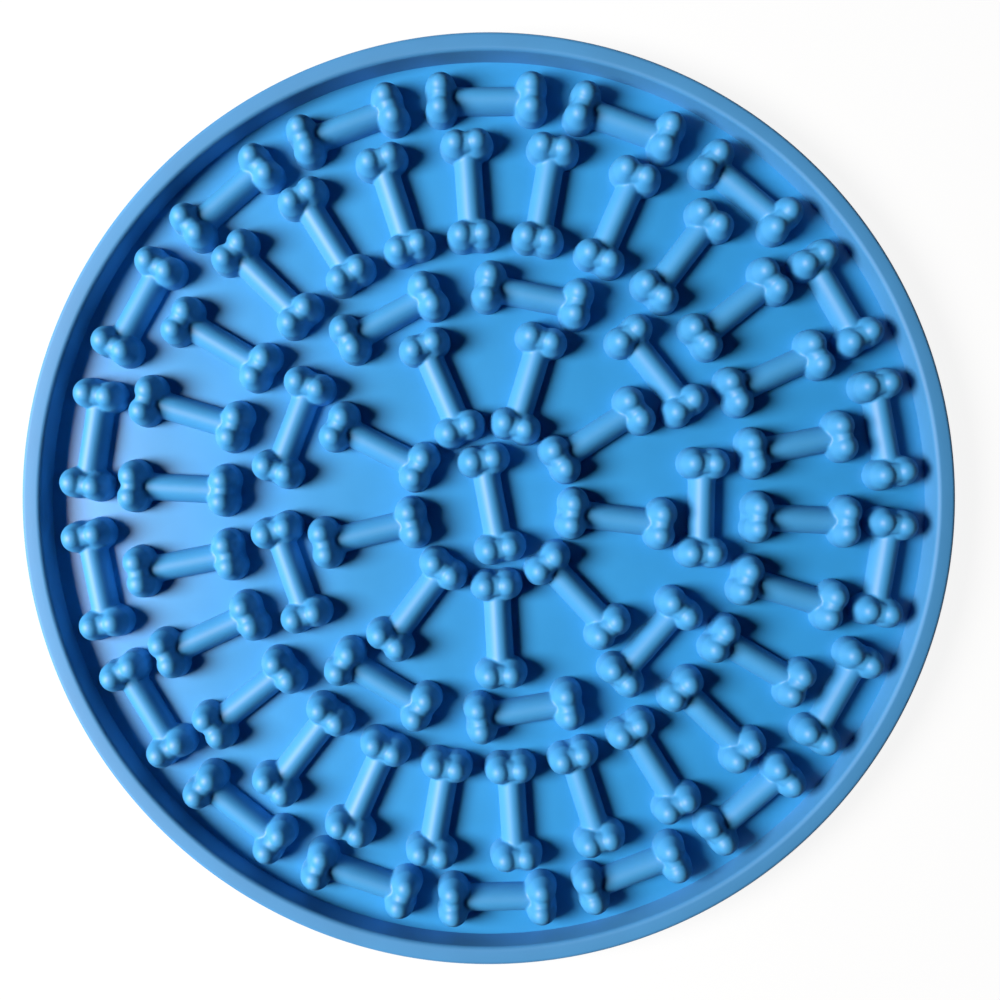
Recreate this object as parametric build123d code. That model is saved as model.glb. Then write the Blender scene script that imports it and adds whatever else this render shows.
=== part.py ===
from build123d import *
from math import acos, atan2, cos, degrees, hypot, pi, sin, sqrt
import os

# Lengths are in millimetres and angles in degrees.
# The mat lies flat with the middle of its underside at the origin and +Z up.

# Flat round sheet that carries the rim and the bones
SHEET_THICKNESS = 2.5
SHEET_EDGE_ROUND = 0.8

# Rim that stands on the sheet's edge, with its height measured from the sheet's top face
RIM_HEIGHT = 6.0
RIM_TOP_WIDTH = 3.85
RIM_WALL_LEAN = 0.65
RIM_INNER_ROUND = 1.0
RIM_OUTER_ROUND = 0.8

# Most of a wall that the round on one of its edges may take
ROUND_LIMIT_SHARE = 0.45

# Bone shaft, a half-round bar
SHAFT_WIDTH = 6.0
SHAFT_HEIGHT = 4.2

# Egg-shaped knobs, two at each end of a bone
KNOB_PAIR_SPAN = 19.4
KNOB_SPACING = 4.6
KNOB_BASE_DIAMETER = 7.2
KNOB_SHOULDER_DIAMETER = 6.3
KNOB_SHOULDER_HEIGHT = 3.8
KNOB_TIP_RADIUS = 2.15
KNOB_HEIGHT = 7.5

# Saddle that joins the two knobs of an end
SADDLE_WIDTH = 6.6
SADDLE_HEIGHT = 6.7
SADDLE_CROWN_RADIUS = 2.1

# How many bones stand in each ring
FIRST_RING_COUNT = 9
SECOND_RING_COUNT = 9
THIRD_RING_COUNT = 26
FOURTH_RING_COUNT = 18

# Clear gap from each ring of bones to what lies inside it, and to the rim
FIRST_RING_GAP = 0.61
SECOND_RING_GAP = 0.4
THIRD_RING_GAP = 1.55
FOURTH_RING_GAP = 0.62
RIM_GAP = 2.17

# Least clear gap between neighbours in a ring, which is widened where it is too tight for them
NEIGHBOUR_GAP = 0.4

# Direction of the first bone of each ring, counted from +X towards +Y
CENTRE_BONE_ANGLE = 100.7
FIRST_RING_ANGLE = -6.8
SECOND_RING_ANGLE = -1.1
THIRD_RING_ANGLE = -2.9
FOURTH_RING_ANGLE = 10.8

# Half sizes of a bone, along it and across it, and of its shaft, saddles and knobs
ALONG = KNOB_PAIR_SPAN / 2
ACROSS = KNOB_SPACING / 2
SHAFT_HALF = SHAFT_WIDTH / 2
SADDLE_HALF = SADDLE_WIDTH / 2
BASE_RADIUS = KNOB_BASE_DIAMETER / 2
SHOULDER_RADIUS = KNOB_SHOULDER_DIAMETER / 2
KNOB_RADIUS = max(BASE_RADIUS, SHOULDER_RADIUS, KNOB_TIP_RADIUS, SADDLE_HALF)

# Name, whether its bones point to the centre, how many, gap, first angle, bones in one node
RINGS = (
    ("first_ring_bone", True, FIRST_RING_COUNT, FIRST_RING_GAP, FIRST_RING_ANGLE, 1),
    ("second_ring_bone", False, SECOND_RING_COUNT, SECOND_RING_GAP, SECOND_RING_ANGLE, 1),
    ("third_ring_bones", True, THIRD_RING_COUNT, THIRD_RING_GAP, THIRD_RING_ANGLE, 2),
    ("fourth_ring_bone", False, FOURTH_RING_COUNT, FOURTH_RING_GAP, FOURTH_RING_ANGLE, 1),
)


def side_turn(radius, half_width, drop):
    """Turn from level at which a straight side touches a round top, from that far out and below."""
    return acos(radius / hypot(half_width, drop)) - atan2(drop, half_width)


def knob():
    """One knob that narrows to its shoulder and on to a ball tip, with its underside at the origin."""
    tip_centre = KNOB_HEIGHT - KNOB_TIP_RADIUS
    turn = side_turn(KNOB_TIP_RADIUS, SHOULDER_RADIUS, tip_centre - KNOB_SHOULDER_HEIGHT)
    tip = CenterArc((0, tip_centre), KNOB_TIP_RADIUS, degrees(turn), degrees(pi / 2 - turn))
    shoulder = (SHOULDER_RADIUS, KNOB_SHOULDER_HEIGHT)
    sides = Polyline((0, 0), (BASE_RADIUS, 0), shoulder, tip @ 0)
    section = make_face([sides, tip, Line(tip @ 1, (0, 0))])
    return revolve(Plane.XZ * section, Axis.Z)


def shaft():
    """Half-round bar along X that reaches to the middle of the knobs."""
    crown = EllipticalCenterArc((0, 0), SHAFT_HALF, SHAFT_HEIGHT, arc_size=degrees(pi))
    section = make_face([crown, Line(crown @ 1, crown @ 0)])
    return extrude(Plane.YZ * section, ALONG, both=True)


def saddle():
    """Ridge along Y from the middle of one knob to the middle of the other, with a round crown."""
    crown_centre = SADDLE_HEIGHT - SADDLE_CROWN_RADIUS
    turn = side_turn(SADDLE_CROWN_RADIUS, SADDLE_HALF, crown_centre)
    crown = CenterArc((0, crown_centre), SADDLE_CROWN_RADIUS, degrees(turn), degrees(pi - 2 * turn))
    sides = Polyline(crown @ 1, (-SADDLE_HALF, 0), (SADDLE_HALF, 0), crown @ 0)
    return extrude(Plane.XZ * make_face([crown, sides]), ACROSS, both=True)


def bone():
    """One bone along X, with its flat underside at the origin's height."""
    solid = shaft()
    one_saddle = saddle()
    one_knob = knob()
    for end in (-ALONG, ALONG):
        solid += Pos(end, 0, 0) * one_saddle
        for side in (-ACROSS, ACROSS):
            solid += Pos(end, side, 0) * one_knob
    return solid.solid()


def ring_radius(radial, inside, count):
    """Least radius at which a ring's bones clear what lies inside it and each other."""
    reach = inside + KNOB_RADIUS
    inward, sideways = (ALONG, ACROSS) if radial else (ACROSS, ALONG)
    half_pitch = pi / count
    room = KNOB_RADIUS + NEIGHBOUR_GAP / 2
    beside = inward + (room + sideways * cos(half_pitch)) / sin(half_pitch)
    past_knobs = inward + sqrt(reach**2 - sideways**2)
    past_shaft = inside + SHAFT_HALF
    return max(beside, past_knobs, past_shaft)


def ring_reach(radial, radius):
    """Radius that a ring's bones reach on their outer side."""
    if radial:
        return hypot(radius + ALONG, ACROSS) + KNOB_RADIUS
    return hypot(radius + ACROSS, ALONG) + KNOB_RADIUS


def bone_ring(one_bone, radial, radius, count, first_angle):
    """A ring's bones, each seated on the sheet's top face."""
    turn = 0 if radial else degrees(pi / 2)
    step = degrees(2 * pi) / count
    out = Pos(radius, 0, SHEET_THICKNESS) * Rot(0, 0, turn)
    return [Rot(0, 0, first_angle + step * place) * out * one_bone for place in range(count)]


def floor_sheet(radius):
    """Round sheet with its lower edge rounded."""
    sheet = extrude(Circle(radius), SHEET_THICKNESS)
    lower_edge = sheet.edges().sort_by(Axis.Z)[0]
    return fillet(lower_edge, min(SHEET_EDGE_ROUND, ROUND_LIMIT_SHARE * SHEET_THICKNESS)).solid()


def rim_ring(foot, crest, outer):
    """Rim from its outer radius in to a wall that leans from its foot out to its crest."""
    top = SHEET_THICKNESS + RIM_HEIGHT
    corners = ((foot, SHEET_THICKNESS), (outer, SHEET_THICKNESS), (outer, top), (crest, top))
    section = make_face(Polyline(*corners, close=True))
    limit = ROUND_LIMIT_SHARE * RIM_TOP_WIDTH
    for size, corner in ((RIM_OUTER_ROUND, corners[2]), (RIM_INNER_ROUND, corners[3])):
        section = fillet(section.vertices().sort_by_distance(corner)[0], min(size, limit))
    return revolve(Plane.XZ * section, Axis.Z).solid()


def mat_nodes():
    """Every node's solids by name, worked out from the centre bone outwards."""
    one_bone = bone()
    centre = Pos(0, 0, SHEET_THICKNESS) * Rot(0, 0, CENTRE_BONE_ANGLE)
    nodes = {"centre_bone": [centre * one_bone]}
    reach = hypot(ALONG, ACROSS) + KNOB_RADIUS
    for name, radial, count, gap, first_angle, share in RINGS:
        radius = ring_radius(radial, reach + gap, count)
        bones = bone_ring(one_bone, radial, radius, count, first_angle)
        for number, start in enumerate(range(0, count, share), start=1):
            nodes[f"{name}_{number:02d}"] = bones[start : start + share]
        reach = ring_reach(radial, radius)
        print(f"{name}: {count} at radius {radius:.2f}")
    foot = reach + RIM_GAP
    crest = foot + RIM_WALL_LEAN
    outer = crest + RIM_TOP_WIDTH
    print(f"rim: foot {foot:.2f}, crest {crest:.2f}, outer radius {outer:.2f}")
    nodes["floor_sheet"] = [floor_sheet(outer)]
    nodes["rim"] = [rim_ring(foot, crest, outer)]
    return nodes


os.makedirs("parts", exist_ok=True)
for node, solids in mat_nodes().items():
    export_step(solids[0] if len(solids) == 1 else Compound(solids), f"parts/{node}.step")
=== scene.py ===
"""Looks of the round lick mat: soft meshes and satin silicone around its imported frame."""
import math

import bmesh
import bpy
from mathutils import Matrix, Vector


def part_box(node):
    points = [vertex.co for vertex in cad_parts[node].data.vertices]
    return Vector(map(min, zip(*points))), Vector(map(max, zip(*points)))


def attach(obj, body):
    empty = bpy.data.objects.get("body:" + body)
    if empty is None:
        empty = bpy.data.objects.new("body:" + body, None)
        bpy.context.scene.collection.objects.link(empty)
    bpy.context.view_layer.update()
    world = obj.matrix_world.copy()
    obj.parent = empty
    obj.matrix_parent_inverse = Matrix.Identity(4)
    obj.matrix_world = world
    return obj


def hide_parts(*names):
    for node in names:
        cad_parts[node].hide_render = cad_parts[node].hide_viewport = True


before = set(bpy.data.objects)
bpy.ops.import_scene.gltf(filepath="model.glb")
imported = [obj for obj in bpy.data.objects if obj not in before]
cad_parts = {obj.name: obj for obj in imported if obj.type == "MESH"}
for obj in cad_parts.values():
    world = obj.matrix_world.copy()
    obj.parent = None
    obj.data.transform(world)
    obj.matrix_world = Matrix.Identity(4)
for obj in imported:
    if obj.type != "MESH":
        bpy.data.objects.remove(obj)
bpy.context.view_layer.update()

# Lengths are in metres, so a length in millimetres is a number times MM
MM = 0.001
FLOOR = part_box("floor_sheet")[1].z
BODY = "root"

# Bones: how finely they are remeshed, how far their creases are eased, and how deep their roots
# reach into the sheet until they are cut off at its top face
VOXEL = 0.25 * MM
EASE_ROUNDS = 6
EASE_SHARE = 0.5
ROOT_DEPTH = 1.0 * MM

# Rim and sheet: rounds on their edges and the lean of the rim's inner wall
RIM_INNER_ROUND = 1.0 * MM
RIM_OUTER_ROUND = 0.9 * MM
SHEET_EDGE_ROUND = 0.8 * MM
RIM_LEAN = 0.65 * MM

# How finely rim and sheet are turned, and how close together points become one
SHEET_RING_STEP = 4.0 * MM
TURN_STEPS = 360
ROUND_STEPS = 8
MERGE_DISTANCE = 0.0005 * MM

# A face of the sheet is part of its top when its normal rises by more than this
TOP_FACE_RISE = 0.5

# Edges that turn by more than this many degrees keep a crisp line
SHARP_TURN = 50.0

# Silicone colours, as written in linear light
FLOOR_BLUE = (0.028, 0.270, 0.585)
BONE_BLUE = (0.042, 0.275, 0.570)
RIM_BLUE = (0.031, 0.232, 0.495)

# Silicone sheen: least and most roughness, and how strong it is
FLOOR_ROUGHNESS = (0.32, 0.38)
BONE_ROUGHNESS = (0.52, 0.60)
RIM_ROUGHNESS = (0.68, 0.76)
FLOOR_SHEEN = 1.0
BONE_SHEEN = 0.65
RIM_SHEEN = 1.0
SHEEN_TINT = (1.0, 0.72, 0.55, 1.0)
SILICONE_IOR = 1.5

# Uneven tone: how fine it is, where in the noise it starts and ends, and its shares of the colour
TONE_SCALE = 55.0
TONE_DETAIL = 3.0
TONE_STOPS = (0.3, 0.7)
TONE_SHARES = (0.95, 1.05)

# Moulded grain: how fine it is and how far it stands out
GRAIN_SCALE = 2600.0
GRAIN_DETAIL = 2.0
GRAIN_STRENGTH = 0.15
GRAIN_DEPTH = 0.02 * MM

# Camera: its place over the mat, its turns about X and Y from looking straight down, in degrees,
# and its lens and sensor as a camera maker gives them, in millimetres
CAMERA_PLACE = (-2.38 * MM, 9.18 * MM, FLOOR + 250.0 * MM)
CAMERA_TURN = (-1.921, -0.960)
CAMERA_LENS = 41.10
CAMERA_SENSOR = 36.0

# Key lamp: a large soft disc on the left, aimed at the middle of the mat
KEY_PLACE = (-614.0 * MM, -42.0 * MM, 511.0 * MM)
KEY_WIDTH = 385.0 * MM
KEY_LEVEL = 2.25
KEY_COLOUR = (1.0, 0.97, 0.95)

# Dim light from all round
FILL_COLOUR = (0.75, 0.88, 1.0)
FILL_LEVEL = 0.002

# White behind the mat, and the height above the horizon at which its mirrored view has faded out,
# where straight up is 1
WHITE = (1.0, 1.0, 1.0, 1.0)
HORIZON_BAND = 0.15

# Ground: its width, its share of plain white, and the grey of the rest, which takes the shadow
GROUND_SIZE = 20.0
GROUND_WHITE_SHARE = 0.9
GROUND_GREY = 0.85


def piece_from(mesh, node, material):
    """A shown piece that rides on the mat and stands for a node."""
    name = f"soft_{node}"
    mesh.name = name
    mesh.materials.clear()
    mesh.materials.append(material)
    mesh.polygons.foreach_set("use_smooth", [True] * len(mesh.polygons))
    piece = bpy.data.objects.new(name, mesh)
    bpy.context.scene.collection.objects.link(piece)
    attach(piece, BODY)
    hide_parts(node)
    return piece


def remeshed(mesh):
    """A closed, evenly meshed and eased copy of a mesh."""
    carrier = bpy.data.objects.new("carrier", mesh)
    bpy.context.scene.collection.objects.link(carrier)
    remesh = carrier.modifiers.new("Remesh", "REMESH")
    remesh.mode = "VOXEL"
    remesh.voxel_size = VOXEL
    ease = carrier.modifiers.new("Ease", "SMOOTH")
    ease.factor = EASE_SHARE
    ease.iterations = EASE_ROUNDS
    depsgraph = bpy.context.evaluated_depsgraph_get()
    result = bpy.data.meshes.new_from_object(carrier.evaluated_get(depsgraph))
    bpy.data.objects.remove(carrier)
    bpy.data.meshes.remove(mesh)
    return result


def keep_sharp(shape):
    """Marks the edges between faces that meet at a real corner."""
    for edge in shape.edges:
        if edge.calc_face_angle(0) > math.radians(SHARP_TURN):
            edge.smooth = False


def bone_mesh(node):
    """A node's bones with eased creases, cut flat where they meet the sheet."""
    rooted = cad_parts[node].data.copy()
    for vertex in rooted.vertices:
        if vertex.co.z < FLOOR + VOXEL:
            vertex.co.z -= ROOT_DEPTH
    mesh = remeshed(rooted)
    shape = bmesh.new()
    shape.from_mesh(mesh)
    whole = shape.verts[:] + shape.edges[:] + shape.faces[:]
    up = (0, 0, 1)
    bmesh.ops.bisect_plane(shape, geom=whole, plane_co=(0, 0, FLOOR), plane_no=up, clear_inner=True)
    bmesh.ops.edgeloop_fill(shape, edges=[edge for edge in shape.edges if edge.is_boundary])
    shape.normal_update()
    keep_sharp(shape)
    shape.to_mesh(mesh)
    shape.free()
    return mesh


def rounded(outline, rounds):
    """Points of an outline with its corners rounded, each corner with its own radius or none."""
    points = []
    for place, corner in enumerate(outline):
        radius = rounds[place]
        here = Vector(corner)
        back = (Vector(outline[place - 1]) - here).normalized()
        ahead = (Vector(outline[(place + 1) % len(outline)]) - here).normalized()
        if radius == 0:
            points.append(here)
            continue
        half = back.angle(ahead) / 2
        centre = here + (back + ahead).normalized() * radius / math.sin(half)
        start = here + back * radius / math.tan(half) - centre
        sweep = start.angle_signed(here + ahead * radius / math.tan(half) - centre)
        for step in range(ROUND_STEPS + 1):
            turn = Matrix.Rotation(-sweep * step / ROUND_STEPS, 2)
            points.append(centre + turn @ start)
    return points


def turned(section, closed):
    """A mesh of a section, as radius and height, turned about the upright axis."""
    mesh = bpy.data.meshes.new("turned")
    shape = bmesh.new()
    rows = []
    for step in range(TURN_STEPS):
        angle = 2 * math.pi * step / TURN_STEPS
        row = [shape.verts.new((r * math.cos(angle), r * math.sin(angle), z)) for r, z in section]
        rows.append(row)
    last = len(section) if closed else len(section) - 1
    for step, row in enumerate(rows):
        following = rows[(step + 1) % TURN_STEPS]
        for place in range(last):
            after = (place + 1) % len(section)
            shape.faces.new((row[place], following[place], following[after], row[after]))
    bmesh.ops.remove_doubles(shape, verts=shape.verts[:], dist=MERGE_DISTANCE)
    bmesh.ops.recalc_face_normals(shape, faces=shape.faces[:])
    keep_sharp(shape)
    shape.to_mesh(mesh)
    shape.free()
    return mesh


def rim_mesh():
    """The rim with a leaning inner wall and soft edges on its top."""
    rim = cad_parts["rim"].data
    foot = min(math.hypot(vertex.co.x, vertex.co.y) for vertex in rim.vertices)
    low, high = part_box("rim")
    outline = [(foot, low.z), (foot + RIM_LEAN, high.z), (high.x, high.z), (high.x, low.z)]
    return turned(rounded(outline, [0, RIM_INNER_ROUND, RIM_OUTER_ROUND, 0]), closed=True)


def sheet_mesh():
    """The round sheet, ringed evenly, with its lower edge rounded."""
    low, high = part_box("floor_sheet")
    rings = int(high.x / SHEET_RING_STEP)
    top = [(high.x * ring / rings, high.z) for ring in range(rings + 1)]
    outline = [(0, low.z), (0, high.z), (high.x, high.z), (high.x, low.z)]
    lower_edge = rounded(outline, [0, 0, 0, SHEET_EDGE_ROUND])[len(outline) - 1:]
    under = [(high.x * ring / rings, low.z) for ring in range(rings - 1, -1, -1)]
    return turned(top + lower_edge + under, closed=False)


def silicone(name, blue, roughness, sheen):
    """Satin silicone with a faintly uneven tone and a fine moulded grain."""
    material = bpy.data.materials.new(name)
    material.use_nodes = True
    tree = material.node_tree
    shader = tree.nodes["Principled BSDF"]
    shader.inputs["IOR"].default_value = SILICONE_IOR
    shader.inputs["Specular IOR Level"].default_value = sheen
    shader.inputs["Specular Tint"].default_value = SHEEN_TINT
    place = tree.nodes.new("ShaderNodeTexCoord").outputs["Object"]

    tone = tree.nodes.new("ShaderNodeTexNoise")
    tone.inputs["Scale"].default_value = TONE_SCALE
    tone.inputs["Detail"].default_value = TONE_DETAIL
    tree.links.new(place, tone.inputs["Vector"])
    ramp = tree.nodes.new("ShaderNodeValToRGB")
    for element, stop, share in zip(ramp.color_ramp.elements, TONE_STOPS, TONE_SHARES):
        element.position = stop
        element.color = (*[share * part for part in blue], 1.0)
    tree.links.new(tone.outputs["Fac"], ramp.inputs["Fac"])
    tree.links.new(ramp.outputs["Color"], shader.inputs["Base Color"])

    gloss = tree.nodes.new("ShaderNodeMapRange")
    gloss.inputs["To Min"].default_value = roughness[0]
    gloss.inputs["To Max"].default_value = roughness[1]
    tree.links.new(tone.outputs["Fac"], gloss.inputs["Value"])
    tree.links.new(gloss.outputs["Result"], shader.inputs["Roughness"])

    grain = tree.nodes.new("ShaderNodeTexNoise")
    grain.inputs["Scale"].default_value = GRAIN_SCALE
    grain.inputs["Detail"].default_value = GRAIN_DETAIL
    tree.links.new(place, grain.inputs["Vector"])
    bump = tree.nodes.new("ShaderNodeBump")
    bump.inputs["Strength"].default_value = GRAIN_STRENGTH
    bump.inputs["Distance"].default_value = GRAIN_DEPTH
    tree.links.new(grain.outputs["Fac"], bump.inputs["Height"])
    tree.links.new(bump.outputs["Normal"], shader.inputs["Normal"])
    return material


def dress_mat():
    """Every node of the mat as a finished silicone piece, with the sheet's side finished as the rim."""
    bone_look = silicone("bone_silicone", BONE_BLUE, BONE_ROUGHNESS, BONE_SHEEN)
    rim_look = silicone("rim_silicone", RIM_BLUE, RIM_ROUGHNESS, RIM_SHEEN)
    sheet_look = silicone("sheet_silicone", FLOOR_BLUE, FLOOR_ROUGHNESS, FLOOR_SHEEN)
    for node in sorted(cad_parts):
        if "bone" in node:
            piece_from(bone_mesh(node), node, bone_look)
    piece_from(rim_mesh(), "rim", rim_look)
    sheet = piece_from(sheet_mesh(), "floor_sheet", sheet_look)
    sheet.data.materials.append(rim_look)
    for polygon in sheet.data.polygons:
        polygon.material_index = 0 if polygon.normal.z > TOP_FACE_RISE else 1


def combined(tree, operation, first, second):
    """Socket with the result of an operation on two others."""
    node = tree.nodes.new("ShaderNodeMath")
    node.operation = operation
    tree.links.new(first, node.inputs[0])
    tree.links.new(second, node.inputs[1])
    return node.outputs[0]


def ray_kinds(tree):
    """Two sockets that are 1 for camera rays, and for mirror and glass rays."""
    path = tree.nodes.new("ShaderNodeLightPath")
    mirror, glass = path.outputs["Is Glossy Ray"], path.outputs["Is Transmission Ray"]
    return path.outputs["Is Camera Ray"], combined(tree, "MAXIMUM", mirror, glass)


def add_ground():
    """Plain white floor that shows the mat's shadow."""
    half = GROUND_SIZE / 2
    corners = [(-half, -half, 0), (half, -half, 0), (half, half, 0), (-half, half, 0)]
    mesh = bpy.data.meshes.new("ground")
    mesh.from_pydata(corners, [], [(0, 1, 2, 3)])
    material = bpy.data.materials.new("ground")
    material.use_nodes = True
    tree = material.node_tree
    tree.nodes.clear()
    matt = tree.nodes.new("ShaderNodeBsdfDiffuse")
    matt.inputs["Color"].default_value = (GROUND_GREY, GROUND_GREY, GROUND_GREY, 1.0)
    white = tree.nodes.new("ShaderNodeEmission")
    share = tree.nodes.new("ShaderNodeMath")
    share.operation = "MULTIPLY"
    share.inputs[1].default_value = GROUND_WHITE_SHARE
    tree.links.new(combined(tree, "MAXIMUM", *ray_kinds(tree)), share.inputs[0])
    mix = tree.nodes.new("ShaderNodeMixShader")
    tree.links.new(share.outputs[0], mix.inputs["Fac"])
    tree.links.new(matt.outputs["BSDF"], mix.inputs[1])
    tree.links.new(white.outputs["Emission"], mix.inputs[2])
    output = tree.nodes.new("ShaderNodeOutputMaterial")
    tree.links.new(mix.outputs["Shader"], output.inputs["Surface"])
    mesh.materials.append(material)
    ground = bpy.data.objects.new("ground", mesh)
    bpy.context.scene.collection.objects.link(ground)


def add_key_lamp():
    """Large soft lamp whose level is the light it throws on a face turned to it at the mat's middle."""
    lamp = bpy.data.lights.new("key", "AREA")
    lamp.shape = "DISK"
    lamp.size = KEY_WIDTH
    lamp.color = KEY_COLOUR
    place = Vector(KEY_PLACE)
    lamp.energy = KEY_LEVEL * (math.pi * place.length) ** 2
    key = bpy.data.objects.new("key", lamp)
    key.location = place
    key.rotation_euler = (-place).to_track_quat("-Z", "Y").to_euler()
    bpy.context.scene.collection.objects.link(key)


def add_world():
    """Dim light from all round, with white behind the mat and, in mirrored views, near the horizon."""
    world = bpy.data.worlds.new("studio")
    bpy.context.scene.world = world
    world.use_nodes = True
    tree = world.node_tree
    fill = tree.nodes["Background"]
    fill.inputs["Color"].default_value = (*FILL_COLOUR, 1.0)
    fill.inputs["Strength"].default_value = FILL_LEVEL
    white = tree.nodes.new("ShaderNodeBackground")
    white.inputs["Color"].default_value = WHITE
    way = tree.nodes.new("ShaderNodeTexCoord")
    split = tree.nodes.new("ShaderNodeSeparateXYZ")
    tree.links.new(way.outputs["Generated"], split.inputs[0])
    low = tree.nodes.new("ShaderNodeMapRange")
    low.inputs["From Min"].default_value = 0.0
    low.inputs["From Max"].default_value = HORIZON_BAND
    low.inputs["To Min"].default_value = 1.0
    low.inputs["To Max"].default_value = 0.0
    tree.links.new(split.outputs["Z"], low.inputs["Value"])
    camera_ray, mirrored_ray = ray_kinds(tree)
    near_horizon = combined(tree, "MULTIPLY", mirrored_ray, low.outputs["Result"])
    mix = tree.nodes.new("ShaderNodeMixShader")
    tree.links.new(combined(tree, "MAXIMUM", camera_ray, near_horizon), mix.inputs["Fac"])
    tree.links.new(fill.outputs["Background"], mix.inputs[1])
    tree.links.new(white.outputs["Background"], mix.inputs[2])
    tree.links.new(mix.outputs["Shader"], tree.nodes["World Output"].inputs["Surface"])


def add_camera():
    """Camera close over the mat, nearly straight down."""
    lens = bpy.data.cameras.new("camera")
    lens.lens = CAMERA_LENS
    lens.sensor_width = CAMERA_SENSOR
    camera = bpy.data.objects.new("camera", lens)
    turn = Vector((math.radians(CAMERA_TURN[0]), math.radians(CAMERA_TURN[1]), 0))
    camera.matrix_world = Matrix.Translation(CAMERA_PLACE) @ Matrix.Rotation(turn.length, 4, turn)
    bpy.context.scene.collection.objects.link(camera)
    bpy.context.scene.camera = camera


dress_mat()
add_ground()
add_key_lamp()
add_world()
add_camera()
bpy.context.scene.view_settings.view_transform = "Standard"
